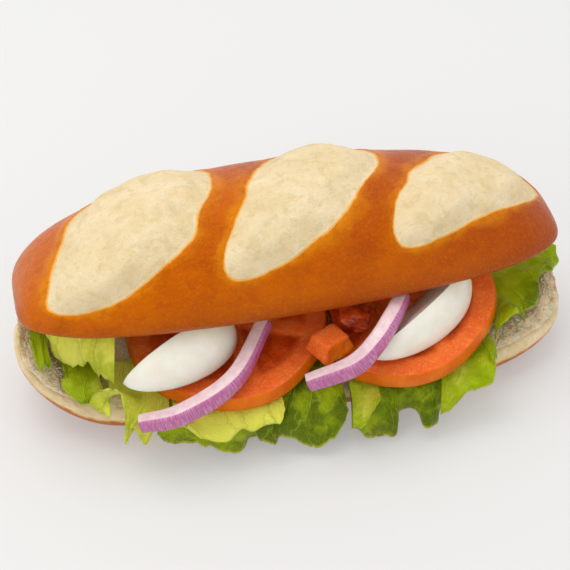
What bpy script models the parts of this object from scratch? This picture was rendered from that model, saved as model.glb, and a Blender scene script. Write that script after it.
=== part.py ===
import bpy
import bmesh
import math
from mathutils import Matrix, Vector, noise

# A submarine sandwich. Lengths are in millimetres and add_piece turns each mesh into metres.
# X runs along the sandwich, -Y is its open front, Z is up and the lower bun stands on Z = 0.
# TO_MIDDLE moves every piece so that the origin is under the middle of the whole.
MM = 0.001
TO_MIDDLE = (-2.7, 2.1, 0.0)

# The upper bun: a loaf lying on the filling, its front edge lifted
TOP_HALF_LENGTH = 103.0
TOP_HALF_WIDTH = 36.1
TOP_DOME = 35.4
TOP_UNDER = 12.4
TOP_LIP = 4.5
TOP_CENTRE = (2.0, 7.6, 50.7)
TOP_TILT = math.radians(-12.8)
TOP_YAW = math.radians(1.9)
TOP_TAPER = 0.05

# The three slashes: the centre of each (along the bun, up over its crust), and how far the
# opening reaches from that centre every 30 degrees
ARC = 37.0
SLASH_RISE = 4.3
SLASH_RAMP = 16.0
SLASHES = (
    ((-59.0, 45.0), (25, 35, 42, 41, 37, 32, 28, 25, 27, 33, 43, 35, 26, 22, 22, 24)),
    ((3.0, 47.0), (24, 36, 40, 38, 29, 21, 18, 18, 19, 27, 43, 32, 23, 20, 19, 20)),
    ((63.0, 45.0), (31, 36, 34, 31, 23, 17, 16, 18, 20, 29, 38, 27, 20, 18, 19, 24)),
)

# The lower bun: a shallow loaf cut open at the top, with a sloping shoulder round the cut and
# both ends curling up
LOW_HALF_LENGTH = 106.0
LOW_HALF_WIDTH = 35.0
LOW_CENTRE = (2.5, 1.0)
LOW_WIDEST = 13.0
LOW_DEPTH = 16.0
LOW_SHOULDER = 11.0
CUT_HEIGHT = 20.0
CUT_SLOPE = 0.05
CURL_START = 70.0
CURL_LEFT = 17.0
CURL_RIGHT = 4.0
CURL_RUN = 34.0

# The filling
GAP = 0.65
EDGE_GAP = 0.7
TUNA_HALF_LENGTH = 103.5
TUNA_HALF_WIDTH = 33.0
TUNA_THICK = 0.9
TUNA_LUMP = 3.2
LEAF_THICK = 0.5
LEAF_STEP = 0.8
FLAT_PART = 0.3
TOMATO_THICK = 6.5


def power(value, exponent):
    return math.copysign(abs(value) ** exponent, value)


def smooth(value):
    value = min(1.0, max(0.0, value))
    return value * value * (3.0 - 2.0 * value)


def clear_scene():
    for item in list(bpy.data.objects):
        bpy.data.objects.remove(item, do_unlink=True)


def make_material(name, colour, roughness):
    material = bpy.data.materials.new(name)
    material.use_nodes = True
    shader = material.node_tree.nodes["Principled BSDF"]
    shader.inputs["Base Color"].default_value = (*colour, 1.0)
    shader.inputs["Roughness"].default_value = roughness
    shader.inputs["Metallic"].default_value = 0.0
    material.diffuse_color = (*colour, 1.0)
    return material


def add_piece(name, bm, material):
    # turn a finished mesh into one named object, in metres, with its faces pointing outward
    bmesh.ops.remove_doubles(bm, verts=bm.verts, dist=0.02)
    bmesh.ops.triangulate(bm, faces=bm.faces)
    bmesh.ops.recalc_face_normals(bm, faces=bm.faces)
    bmesh.ops.translate(bm, vec=TO_MIDDLE, verts=bm.verts)
    bmesh.ops.scale(bm, vec=(MM, MM, MM), verts=bm.verts)
    mesh = bpy.data.meshes.new(name)
    bm.to_mesh(mesh)
    bm.free()
    mesh.shade_smooth()
    mesh.materials.append(material)
    piece = bpy.data.objects.new(name, mesh)
    bpy.context.collection.objects.link(piece)
    return piece


def ball(segments, rings):
    # a unit ball with its poles on the X axis
    bm = bmesh.new()
    turn = Matrix.Rotation(math.pi / 2, 4, "Y")
    bmesh.ops.create_uvsphere(bm, u_segments=segments, v_segments=rings, radius=1.0, matrix=turn)
    return bm


def slash_reach(radii, angle):
    # a smooth closed outline through the sixteen radii of one slash
    step = (angle / (2 * math.pi)) % 1.0 * 16
    low = int(step)
    t = step - low
    a, b, c, d = (radii[(low + k) % 16] for k in (-1, 0, 1, 2))
    return b + 0.5 * t * (c - a + t * (2 * a - 5 * b + 4 * c - d + t * (3 * (b - c) + d - a)))


def slash_height(along, arc):
    height = 0.0
    for (centre_x, centre_arc), radii in SLASHES:
        away = Vector((along - centre_x, arc - centre_arc))
        inside = slash_reach(radii, math.atan2(away.y, away.x)) - away.length
        height = max(height, SLASH_RISE * smooth((inside + 1.0) / SLASH_RAMP))
    return height


def top_point(n):
    ring = math.sqrt(max(1e-9, 1.0 - n.x * n.x))
    side, up = n.y / ring, n.z / ring
    x = TOP_HALF_LENGTH * power(n.x, 0.87)
    wide = TOP_HALF_WIDTH * (1.0 - 0.4 * TOP_TAPER * x / TOP_HALF_LENGTH) * ring ** 0.47
    tall = TOP_DOME if up > 0 else TOP_UNDER
    tall *= (1.0 - TOP_TAPER * x / TOP_HALF_LENGTH) * ring ** 1.06
    point = Vector((x, wide * power(side, 0.91), tall * power(up, 0.95)))
    if up > 0:
        arc = ARC * math.atan2(up, -side)
        outward = Vector((x / TOP_HALF_LENGTH ** 2, point.y / TOP_HALF_WIDTH ** 2,
                          point.z / TOP_DOME ** 2)).normalized()
        point += outward * slash_height(x, arc)
    return point


def close_holes(bm):
    rim = [edge for edge in bm.edges if edge.is_boundary]
    bmesh.ops.holes_fill(bm, edges=rim, sides=0)


def make_top_bun(material):
    bm = ball(46, 40)
    for vert in bm.verts:
        vert.co = top_point(vert.co.normalized())
    everything = list(bm.verts) + list(bm.edges) + list(bm.faces)
    bmesh.ops.bisect_plane(bm, geom=everything, plane_co=(0, 0, -TOP_LIP),
                           plane_no=(0, 0, -1), clear_outer=True)
    close_holes(bm)
    place = (Matrix.Translation(TOP_CENTRE) @ Matrix.Rotation(TOP_YAW, 4, "Z")
             @ Matrix.Rotation(TOP_TILT, 4, "X"))
    bmesh.ops.transform(bm, matrix=place, verts=bm.verts)
    return add_piece("bun_top", bm, material)


def cut_height(y):
    # the cut face of the lower bun, before its left end curls up
    return CUT_HEIGHT + CUT_SLOPE * (y + LOW_HALF_WIDTH)


def curl(x):
    rise = CURL_LEFT if x < 0 else CURL_RIGHT
    return rise * (max(0.0, abs(x) - CURL_START) / CURL_RUN) ** 2


def low_ring(x):
    # how full the lower bun's section is at a place along it
    n = min(1.0, abs(x - LOW_CENTRE[0]) / LOW_HALF_LENGTH) ** (1 / 0.74)
    return math.sqrt(max(1e-9, 1.0 - n * n))


def bed_height(x, y):
    # the top of the lower bun: its cut face, and the shoulder round it
    grow = low_ring(x) ** 0.7
    side = min(1.0, abs(y - LOW_CENTRE[1]) / (LOW_HALF_WIDTH * grow)) ** (1 / 0.9)
    shoulder = LOW_WIDEST + LOW_SHOULDER * grow * math.sqrt(1.0 - side * side) ** 0.9
    return min(cut_height(y), shoulder) + curl(x)


def flatten(bm, height, above):
    # split the mesh where it passes the height and press what lies beyond onto it
    tilt = Vector((0, -CUT_SLOPE, 1)) if above else Vector((0, 0, -1))
    everything = list(bm.verts) + list(bm.edges) + list(bm.faces)
    bmesh.ops.bisect_plane(bm, geom=everything, plane_co=(0, 0, height(0.0)), plane_no=tilt)
    for vert in bm.verts:
        level = height(vert.co.y)
        if (vert.co.z - level) * (1 if above else -1) > 0:
            vert.co.z = level


def make_low_bun(material):
    bm = ball(30, 28)
    for vert in bm.verts:
        n = vert.co.normalized()
        ring = math.sqrt(max(1e-9, 1.0 - n.x * n.x))
        side, up = n.y / ring, n.z / ring
        grow = ring ** 0.7
        tall = LOW_SHOULDER if up > 0 else LOW_DEPTH
        vert.co = Vector((LOW_CENTRE[0] + LOW_HALF_LENGTH * power(n.x, 0.74),
                          LOW_CENTRE[1] + LOW_HALF_WIDTH * grow * power(side, 0.9),
                          LOW_WIDEST + tall * grow * power(up, 0.9)))
    flatten(bm, cut_height, True)
    flatten(bm, lambda y: 0.0, False)
    for vert in bm.verts:
        vert.co.z += curl(vert.co.x)
    return add_piece("bun_bottom", bm, material)


def make_tuna(material):
    # a layer that follows the bed, thin in the middle and lumpy at both ends
    bm = ball(26, 30)
    for vert in bm.verts:
        n = vert.co.normalized()
        ring = math.sqrt(max(1e-9, 1.0 - n.x * n.x))
        side, up = n.y / ring, n.z / ring
        x = LOW_CENTRE[0] + TUNA_HALF_LENGTH * power(n.x, 0.72)
        rim = max(side ** 4, 0.4 * smooth((abs(x) - 66.0) / 12.0))
        y = LOW_CENTRE[1] + TUNA_HALF_WIDTH * low_ring(x) ** 0.7 * power(side, 0.75)
        end = smooth((abs(x) - 80.0) / 20.0)
        lump = noise.noise(Vector((x * 0.11, y * 0.13, 3.7)))
        fine = noise.noise(Vector((x * 0.31, y * 0.33, 9.1)))
        thick = TUNA_THICK + 0.05 * (y + LOW_HALF_WIDTH) - 0.4 * abs(lump)
        thick += end * (TUNA_LUMP + 2.2 * lump + 1.4 * fine) + 1.8 * smooth((x - 92.0) / 8.0)
        thick = max(0.7, thick)
        z = bed_height(x, y) + GAP + EDGE_GAP * rim + thick * (0.5 + 0.5 * power(up, 0.5))
        vert.co = Vector((x, y, z))
    return add_piece("tuna_spread", bm, material)


def bezier(points, t):
    a, b, c, d = (Vector(point) for point in points)
    s = 1.0 - t
    return a * s ** 3 + b * 3 * s * s * t + c * 3 * s * t * t + d * t ** 3


def tier(y, level):
    # where a sheet of lettuce lies between the tuna and the tomato
    return 22.5 + 0.1 * (y + 35.0) + LEAF_STEP * level


def through(places, u):
    # a smooth curve through evenly shared places, u running from 0 to 1
    spot = u * (len(places) - 1)
    low = min(int(spot), len(places) - 2)
    t = spot - low
    b, c = places[low], places[low + 1]
    a = places[low - 1] if low > 0 else b * 2 - c
    d = places[low + 2] if low + 2 < len(places) else c * 2 - b
    return b + (c - a + (a * 2 - b * 5 + c * 4 - d + ((b - c) * 3 + d - a) * t) * t) * (0.5 * t)


def leaf_rib(root, knee, bend, edge, v):
    # straight from the root to the knee, then bending smoothly down to the free edge
    if v < FLAT_PART:
        return root.lerp(knee, v / FLAT_PART)
    ahead = knee + (knee - root).normalized() * (bend - knee).length * 0.5
    return bezier((knee, ahead, bend, edge), (v - FLAT_PART) / (1.0 - FLAT_PART))


def make_leaf(name, material, roots, knees, edge, drop=5.0, ruffle=(1.2, 2.5, 0.0), columns=14,
              rows=6):
    # a thin wavy sheet: roots and knees are its left and right ends inside the filling, edge the
    # places that its free edge passes, and drop how far it falls straight down to them
    swell, waves, phase = ruffle
    roots, knees, edge = ([Vector(place) for place in line] for line in (roots, knees, edge))

    def surface(u, v):
        tip = through(edge, u)
        return leaf_rib(roots[0].lerp(roots[1], u), knees[0].lerp(knees[1], u),
                        tip + Vector((0, 0, drop)), tip, v)

    bm = bmesh.new()
    bmesh.ops.create_grid(bm, x_segments=columns, y_segments=rows, size=0.5)
    bmesh.ops.triangulate(bm, faces=bm.faces)
    for vert in bm.verts:
        u = vert.co.x + 0.5
        row = (vert.co.y + 0.5) * rows
        v = row * FLAT_PART if row < 1.0 else FLAT_PART + (1.0 - FLAT_PART) * (row - 1) / (rows - 1)
        across = surface(min(1.0, u + 0.02), v) - surface(max(0.0, u - 0.02), v)
        down = surface(u, min(1.0, v + 0.02)) - surface(u, max(0.0, v - 0.02))
        normal = across.cross(down).normalized()
        free = max(0.0, v - FLAT_PART) / (1.0 - FLAT_PART)
        calm = 1.0 - abs(2.0 * u - 1.0) ** 4
        wave = math.sin(2 * math.pi * waves * u + phase + 1.2 * v)
        vert.co = surface(u, v) + normal * (swell * free * wave * calm)
    bmesh.ops.solidify(bm, geom=bm.faces, thickness=LEAF_THICK)
    return add_piece(name, bm, material)


def make_tomato(name, material, centre, radius, tilt, turn=0.0, left_end=None):
    # a round slice, a little wider at its lower face, with softly lobed skin; tilt is its rise
    # along X and along Y, and left_end trims the slice straight at that place along X
    bm = bmesh.new()
    bmesh.ops.create_cone(bm, cap_ends=True, segments=40, radius1=radius, radius2=radius - 2.0,
                          depth=TOMATO_THICK)
    rim = [edge for edge in bm.edges if abs(edge.verts[0].co.z - edge.verts[1].co.z) < 1e-6]
    bmesh.ops.bevel(bm, geom=rim, offset=0.7, segments=1, profile=0.5, affect="EDGES", material=-1)
    for vert in bm.verts:
        angle = math.atan2(vert.co.y, vert.co.x)
        lobe = 1.0 + 0.012 * math.cos(5 * angle + turn) + 0.008 * math.cos(3 * angle - turn)
        vert.co.x *= lobe
        vert.co.y *= lobe
    if left_end is not None:
        everything = list(bm.verts) + list(bm.edges) + list(bm.faces)
        bmesh.ops.bisect_plane(bm, geom=everything, plane_co=(left_end - centre[0], 0, 0),
                               plane_no=(-1, 0, 0), clear_outer=True)
        close_holes(bm)
    place = (Matrix.Translation(centre) @ Matrix.Rotation(math.atan(tilt[1]), 4, "X")
             @ Matrix.Rotation(-math.atan(tilt[0]), 4, "Y"))
    bmesh.ops.transform(bm, matrix=place, verts=bm.verts)
    return add_piece(name, bm, material)


def make_egg(name, material, tip, end, radius, lower, upper):
    # a wedge of boiled egg: an egg shape round the line from tip to end, cut along that line
    # by two planes, at the angles lower and upper above the front
    axis = Vector(end) - Vector(tip)
    half = axis.length / 2
    bm = ball(36, 14)
    for vert in bm.verts:
        n = vert.co.normalized()
        vert.co = Vector((half * n.x, radius * n.y * (1 + 0.12 * n.x), radius * n.z * (1 + 0.12 * n.x)))
    for angle, sign in ((lower, 1.0), (upper, -1.0)):
        everything = list(bm.verts) + list(bm.edges) + list(bm.faces)
        a = math.radians(angle)
        keep = Vector((0, math.sin(a), math.cos(a))) * sign
        bmesh.ops.bisect_plane(bm, geom=everything, plane_co=(0, 0, 0), plane_no=-keep,
                               clear_outer=True)
        close_holes(bm)
    front = Vector((axis.y, -axis.x, 0)).normalized()
    length = axis.normalized()
    up = length.cross(-front).normalized()
    turn = Matrix((length, -front, up)).transposed().to_4x4()
    place = Matrix.Translation((Vector(tip) + Vector(end)) / 2) @ turn
    bmesh.ops.transform(bm, matrix=place, verts=bm.verts)
    return add_piece(name, bm, material)


def make_strip(name, material, path, wide, tall, roll=0.0):
    # a curved band with a soft rectangular section, swept along a smooth path
    section = bpy.data.curves.new(name + "_section", "CURVE")
    outline = section.splines.new("POLY")
    outline.points.add(7)
    for k, point in enumerate(outline.points):
        x = (0.5 if k in (0, 3, 4, 7) else 0.38) * (1 if k in (0, 1, 6, 7) else -1)
        y = (0.38 if k in (0, 3, 4, 7) else 0.5) * (1 if k < 4 else -1)
        x, y = x * wide, y * tall
        point.co = (x * math.cos(roll) - y * math.sin(roll),
                    x * math.sin(roll) + y * math.cos(roll), 0, 1)
    outline.use_cyclic_u = True
    section_piece = bpy.data.objects.new(name + "_section", section)
    curve = bpy.data.curves.new(name + "_path", "CURVE")
    curve.dimensions = "3D"
    curve.twist_mode = "Z_UP"
    curve.resolution_u = 5
    curve.bevel_mode = "OBJECT"
    curve.bevel_object = section_piece
    curve.use_fill_caps = True
    spline = curve.splines.new("BEZIER")
    spline.bezier_points.add(len(path) - 1)
    for point, spot in zip(spline.bezier_points, path):
        point.co = spot[:3]
        point.radius = spot[3]
        point.handle_left_type = "AUTO"
        point.handle_right_type = "AUTO"
    swept = bpy.data.objects.new(name + "_path", curve)
    bpy.context.collection.objects.link(section_piece)
    bpy.context.collection.objects.link(swept)
    bpy.context.view_layer.update()
    ready = swept.evaluated_get(bpy.context.evaluated_depsgraph_get())
    bm = bmesh.new()
    bm.from_mesh(ready.to_mesh())
    ready.to_mesh_clear()
    bpy.data.objects.remove(swept)
    bpy.data.objects.remove(section_piece)
    return add_piece(name, bm, material)


def make_chunk(name, material, centre, size, turn):
    # a cut block of tomato flesh, narrower at the top
    bm = bmesh.new()
    bmesh.ops.create_cube(bm, size=1.0)
    bmesh.ops.bevel(bm, geom=list(bm.edges), offset=0.14, segments=2, profile=0.5,
                    affect="EDGES", material=-1)
    for vert in bm.verts:
        taper = 1.0 - 0.3 * (vert.co.z + 0.5)
        vert.co = Vector((vert.co.x * size[0] * taper, vert.co.y * size[1] * taper, vert.co.z * size[2]))
    place = Matrix.Translation(centre) @ Matrix.Rotation(turn, 4, "Z")
    bmesh.ops.transform(bm, matrix=place, verts=bm.verts)
    return add_piece(name, bm, material)


def make_jelly(name, material, centre, size):
    # a soft lump of seed jelly with an uneven top
    bm = bmesh.new()
    bmesh.ops.create_icosphere(bm, subdivisions=2, radius=1.0)
    for vert in bm.verts:
        n = vert.co.normalized()
        swell = 1.0 + 0.22 * noise.noise(n * 1.9 + Vector((5.0, 1.0, 2.0)))
        vert.co = Vector((n.x * size[0], n.y * size[1], power(n.z, 0.7) * size[2])) * swell
        vert.co.z = max(-size[2], vert.co.z)
        vert.co += Vector(centre)
    return add_piece(name, bm, material)


clear_scene()
crust = make_material("crust", (0.62, 0.26, 0.06), 0.32)
low_crust = make_material("lower_crust", (0.55, 0.24, 0.07), 0.4)
tuna = make_material("tuna", (0.72, 0.46, 0.34), 0.55)
lettuce = make_material("lettuce", (0.16, 0.36, 0.05), 0.4)
pale_lettuce = make_material("pale_lettuce", (0.42, 0.58, 0.16), 0.4)
tomato = make_material("tomato", (0.66, 0.10, 0.03), 0.25)
egg = make_material("egg_white", (0.86, 0.83, 0.76), 0.3)
onion = make_material("red_onion", (0.62, 0.42, 0.55), 0.3)
jelly = make_material("tomato_jelly", (0.42, 0.03, 0.01), 0.15)

make_top_bun(crust)
make_low_bun(low_crust)
make_tuna(tuna)

make_tomato("tomato_left", tomato, (-24.5, -4.5, 31.0), 38.8, (0.0, 0.1), 0.3)
make_tomato("tomato_right", tomato, (40.5, -5.0, 32.4), 39.8, (0.07, 0.1), 1.1, 15.6)
make_chunk("tomato_chunk", tomato, (11.0, -28.2, 38.4), (15.0, 13.0, 7.5), 0.5)
make_jelly("tomato_jelly", jelly, (23.5, -17.0, 39.6), (7.0, 8.5, 3.8))

make_egg("egg_left", egg, (-66.0, -31.0, 35.2), (-23.0, -9.5, 36.0), 15.8, 0.0, 75.0)
make_egg("egg_right", egg, (23.0, -34.0, 35.0), (67.0, 1.0, 39.4), 17.3, -7.0, 51.0)

# the red onion: each place on the path ends with how full the band is there
make_strip("onion_left", onion,
           ((-62.0, -44.0, 27.0, 0.85), (-46.7, -45.2, 30.5, 1.0), (-26.6, -38.0, 36.7, 1.0),
            (-11.3, -16.0, 40.0, 0.9)), 6.5, 7.0)
make_strip("onion_right", onion,
           ((0.0, -42.0, 33.5, 0.85), (16.4, -42.5, 39.8, 1.0), (25.5, -38.5, 45.5, 1.0),
            (33.7, -30.0, 49.0, 1.0), (39.4, -21.0, 48.5, 0.9)), 6.5, 7.0)

# the lettuce: every leaf comes from inside the filling and its free edge hangs over the bun
make_leaf("leaf_left_flap", lettuce, ((-94, 8, 40), (-91, 8, 38.6)), ((-96, 0, 42), (-91.3, -3, 39.5)),
          ((-96.5, -10, 41), (-96.5, -13.5, 37.5), (-94.5, -18.5, 33.5), (-93, -17.5, 36.5),
           (-91.8, -18.5, 34.5), (-90.5, -18, 36)), 2.0, (0.3, 1, 0), 10, 5)
make_leaf("leaf_left_fold", lettuce, ((-86, 14, 35), (-66, 8, 36)), ((-89, 3, 44), (-66, -10, 46)),
          ((-91, -8, 42), (-89, -13, 36), (-86, -17, 34), (-83, -19, 34), (-80, -20, 36), (-77, -21, 38),
           (-75, -25, 34), (-73, -26, 35), (-68.5, -29, 34)), 8.0, (0.9, 2, 2.2), 16)
make_leaf("leaf_left_low", lettuce, ((-84, 4, 29), (-73, -2, 27.5)), ((-86, -8, 31), (-74, -16, 28)),
          ((-87, -14, 32), (-86, -19, 30), (-88, -20, 28), (-86, -25.5, 26.5), (-83, -29, 25.5),
           (-79.5, -29, 25), (-76, -28, 25.5), (-73, -25.5, 26.5)), 1.5, (0.5, 1.7, 0.5), 14)
make_leaf("leaf_left_curl", pale_lettuce, ((-71, -12, tier(-12, 2)), (-50, -12, tier(-12, 2))),
          ((-71, -22, tier(-22, 2) + 1), (-50, -30, tier(-30, 2))),
          ((-72, -35, 22), (-76, -33, 24), (-79, -31, 27), (-76.5, -30, 31), (-72, -31, 33), (-68, -33, 33),
           (-67, -38, 29), (-68, -44, 17), (-65, -42, 24), (-61, -44, 15), (-57, -43, 21), (-52, -42, 23)),
          3.0, (0.4, 2, 1.0), 22)
make_leaf("leaf_pale", pale_lettuce, ((-49, -6, tier(-6, 1.6)), (-9, -6, tier(-6, 1.6))),
          ((-49, -32, tier(-32, 1.6)), (-9, -32, tier(-32, 1.6))),
          ((-50, -45, 23), (-45, -46, 23), (-40, -49, 19), (-32, -50, 17), (-26, -48, 20), (-22, -48, 18),
           (-15, -47, 20), (-11, -47, 19), (-9, -44.5, 23)), 2.0, (0.8, 3.4, 0.6), 18)
make_leaf("leaf_under", lettuce, ((-54, -8, tier(-8, 0)), (-14, -8, tier(-8, 0))),
          ((-54, -32, tier(-32, 0)), (-14, -32, tier(-32, 0))),
          ((-56, -41.5, 16), (-53, -43, 13.5), (-48, -44, 11), (-42, -43, 11), (-38, -44, 8),
           (-34, -44.5, 6), (-26, -44.5, 4.5), (-20, -42, 6), (-16, -40, 7)), 6.0, (1.2, 3.2, 2.0), 16)
make_leaf("leaf_middle", lettuce, ((-11, -6, tier(-6, 0.6)), (14, -6, tier(-6, 0.6))),
          ((-11, -32, tier(-32, 0.6)), (14, -32, tier(-32, 0.6))),
          ((-21, -42.5, 10.5), (-18, -43.5, 6.5), (-13, -45, 6), (-10, -46, 10), (-4, -48.5, 6.5),
           (0, -49, 4.5), (4, -49, 5.5), (9, -48.5, 8.5), (13, -47.5, 14), (14, -46.5, 20.5)),
          8.0, (1.0, 1.8, 1.4), 18)
make_leaf("leaf_fold", pale_lettuce, ((17, -14, tier(-14, 1)), (27, -14, tier(-14, 1))),
          ((17, -33, tier(-33, 1)), (27, -38, tier(-38, 1))),
          ((15.5, -50.5, 15.5), (19, -51.5, 15.5), (21, -52.5, 23), (24.5, -52.5, 31)), 1.5,
          (0.4, 1.0, 2.5), 10)
make_leaf("leaf_frill", lettuce, ((17, -10, tier(-10, 0)), (55, -10, tier(-10, 0))),
          ((17, -32, tier(-32, 0)), (53, -32, tier(-32, 0))),
          ((16, -46, 8), (19, -46.5, 7), (22, -48, 5), (25, -48.5, 2.5), (29, -48.5, 2.5), (32, -48.5, 4),
           (33, -46, 10), (36, -44, 12), (41, -45, 11), (43, -49, 7), (46, -49, 7), (49, -48, 7),
           (51.5, -45, 11)), 6.0, (1.0, 3.0, 0.9), 24)
make_leaf("leaf_frill_right", lettuce, ((56, -12, tier(-12, 1.2)), (70, -4, tier(-4, 0.8))),
          ((53, -31, tier(-31, 1.2)), (73, -20, 25.9)),
          ((49, -50, 13.5), (55, -47.5, 15), (60, -46, 18.5), (66, -45, 19), (70, -43, 22), (72, -41, 26),
           (70.5, -38, 26), (74, -36, 24)), 5.0, (1.0, 2.2, 2.6), 14)
make_leaf("leaf_right", lettuce, ((66, -6, tier(-6, 2.4)), (76, 16, 31)), ((74, -16, 27.8), (92, 12, 34)),
          ((74, -31, 28), (75.5, -28, 30), (79, -26, 32.5), (84, -24.5, 35), (89, -24, 28), (90, -18, 29),
           (94, -16, 29.5), (97, -12, 31.5), (99, -7, 34.5), (103, -4, 33), (105, -2, 32), (109, 2, 32),
           (109, 6, 36)), 3.0, (0.9, 3.0, 0.4), 22)
for side, first, last, wave in (("left", -58, -4, 0.2), ("right", 4, 66, 1.2)):
    reach = [(first + (last - first) * k / 6, 43 + 2 * math.sin(2.4 * k), 19 + 3 * math.sin(1.9 * k + wave))
             for k in range(7)]
    make_leaf("leaf_back_" + side, lettuce, ((last, 6, tier(6, 1)), (first, 6, tier(6, 1))),
              ((last, 33, tier(33, 1)), (first, 33, tier(33, 1))), reach[::-1], 6.0, (1.4, 2.7, wave), 14, 5)
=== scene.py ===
import math
import random

import bmesh
import bpy
from mathutils import Matrix, Vector, noise


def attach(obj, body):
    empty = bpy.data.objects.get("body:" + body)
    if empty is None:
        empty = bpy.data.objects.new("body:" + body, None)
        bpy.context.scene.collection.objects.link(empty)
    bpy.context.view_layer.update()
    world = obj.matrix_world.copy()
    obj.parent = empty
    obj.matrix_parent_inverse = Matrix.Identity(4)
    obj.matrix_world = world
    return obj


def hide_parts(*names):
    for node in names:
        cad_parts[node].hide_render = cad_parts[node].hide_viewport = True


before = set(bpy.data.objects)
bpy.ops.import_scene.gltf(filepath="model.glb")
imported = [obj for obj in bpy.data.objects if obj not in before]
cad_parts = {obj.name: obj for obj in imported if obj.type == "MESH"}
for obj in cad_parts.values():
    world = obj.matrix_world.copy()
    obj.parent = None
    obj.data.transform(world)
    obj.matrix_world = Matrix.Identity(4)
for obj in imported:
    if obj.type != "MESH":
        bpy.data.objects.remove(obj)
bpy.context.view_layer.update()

print("frame loaded")

# Lengths are in millimetres: X along the roll, -Y its open front, Z up. finishPiece shifts each
# finished mesh over the frame's origin and turns it into metres.
millimetre = 0.001
toMiddle = (-2.7, 2.1, 0.0)
random.seed(7)


def power(value, exponent):
    return math.copysign(abs(value) ** exponent, value)


def smooth(value):
    value = min(1.0, max(0.0, value))
    return value * value * (3.0 - 2.0 * value)


def curveThrough(values, place):
    # Catmull-Rom through evenly spaced numbers or vectors, place running from 0 to 1
    spot = min(max(place, 0.0), 1.0) * (len(values) - 1)
    low = min(int(spot), len(values) - 2)
    t = spot - low
    b, c = values[low], values[low + 1]
    a = values[low - 1] if low > 0 else b + (b - c)
    d = values[low + 2] if low + 2 < len(values) else c + (c - b)
    return b + (c - a + (a * 2 - b * 5 + c * 4 - d + ((b - c) * 3 + d - a) * t) * t) * (0.5 * t)


def ripple(x, y, z, size, seed=0.0):
    return noise.noise(Vector((x / size + seed, y / size - seed, z / size + 0.5 * seed)))


def everything(bm):
    return list(bm.verts) + list(bm.edges) + list(bm.faces)


def ball(segments, rings):
    # a unit ball with its poles on X
    bm = bmesh.new()
    turn = Matrix.Rotation(math.pi / 2, 4, "Y")
    bmesh.ops.create_uvsphere(bm, u_segments=segments, v_segments=rings, radius=1.0, matrix=turn)
    return bm


def finishPiece(name, bm, material, node):
    bmesh.ops.remove_doubles(bm, verts=bm.verts, dist=0.004)
    bmesh.ops.recalc_face_normals(bm, faces=bm.faces)
    bmesh.ops.translate(bm, vec=toMiddle, verts=bm.verts)
    bmesh.ops.scale(bm, vec=(millimetre,) * 3, verts=bm.verts)
    mesh = bpy.data.meshes.new(name)
    bm.to_mesh(mesh)
    bm.free()
    mesh.shade_smooth()
    mesh.materials.append(material)
    piece = bpy.data.objects.new(name, mesh)
    bpy.context.scene.collection.objects.link(piece)
    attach(piece, "root")
    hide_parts(node)
    return piece


# Shader helpers. A value in inputs that is a socket is linked, any other is set on the socket.
def addNode(tree, kind, inputs=None, **settings):
    made = tree.nodes.new(kind)
    for key, value in settings.items():
        setattr(made, key, value)
    for key, value in (inputs or {}).items():
        if isinstance(value, bpy.types.NodeSocket):
            tree.links.new(value, made.inputs[key])
        else:
            made.inputs[key].default_value = value
    return made


def colour(red, green, blue):
    # a colour read from a screen, 0 to 255, as the linear value that shaders take
    def linear(part):
        part /= 255.0
        return part / 12.92 if part <= 0.04045 else ((part + 0.055) / 1.055) ** 2.4
    return (linear(red), linear(green), linear(blue), 1.0)


def mixColour(tree, factor, first, second):
    return addNode(tree, "ShaderNodeMix", {0: factor, 6: first, 7: second}, data_type="RGBA").outputs[2]


def calculate(tree, operation, first, second):
    return addNode(tree, "ShaderNodeMath", {0: first, 1: second}, operation=operation).outputs[0]


def add(tree, first, second):
    return calculate(tree, "ADD", first, second)


def times(tree, first, second):
    return calculate(tree, "MULTIPLY", first, second)


def combine(tree, operation, first, second):
    # vectors, part by part
    return addNode(tree, "ShaderNodeVectorMath", {0: first, 1: second}, operation=operation).outputs[0]


def tint(tree, base, mask, share, tone):
    # base coloured with tone where mask is 1, by share of the way
    return mixColour(tree, times(tree, mask, share), base, tone)


def remap(tree, value, low, high, newLow=0.0, newHigh=1.0, soft=True):
    kind = "SMOOTHSTEP" if soft else "LINEAR"
    return addNode(tree, "ShaderNodeMapRange", {"Value": value, "From Min": low, "From Max": high,
                   "To Min": newLow, "To Max": newHigh}, interpolation_type=kind).outputs["Result"]


def readAttribute(tree, name):
    return addNode(tree, "ShaderNodeAttribute", attribute_name=name).outputs["Fac"]


def newGroup(name, inputs, outputs):
    group = bpy.data.node_groups.new(name, "ShaderNodeTree")
    for label, kind, default in inputs:
        socket = group.interface.new_socket(name=label, in_out="INPUT", socket_type=kind)
        if default is not None:
            socket.default_value = default
    for label, kind in outputs:
        group.interface.new_socket(name=label, in_out="OUTPUT", socket_type=kind)
    return group, addNode(group, "NodeGroupInput"), addNode(group, "NodeGroupOutput")


def fillGroup(tree, group, inputs):
    return addNode(tree, "ShaderNodeGroup", inputs, node_tree=group)


def makeMottle():
    # soft patches at two sizes, and where they lie, from 0 to 1
    group, given, result = newGroup("softMottle", (("Place", "NodeSocketVector", None),
                                    ("Size", "NodeSocketFloat", 5.0), ("Contrast", "NodeSocketFloat", 1.0)),
                                    (("Mask", "NodeSocketFloat"),))
    scale = calculate(group, "DIVIDE", 1000.0, given.outputs["Size"])
    patches = addNode(group, "ShaderNodeTexNoise", {"Vector": given.outputs["Place"], "Scale": scale,
                      "Detail": 5.0, "Roughness": 0.6})
    spread = times(group, calculate(group, "SUBTRACT", patches.outputs["Fac"], 0.5),
                   times(group, given.outputs["Contrast"], 2.5))
    mask = add(group, spread, 0.5)
    clamp = addNode(group, "ShaderNodeClamp", {"Value": mask})
    group.links.new(clamp.outputs[0], result.inputs["Mask"])
    return group


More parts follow.
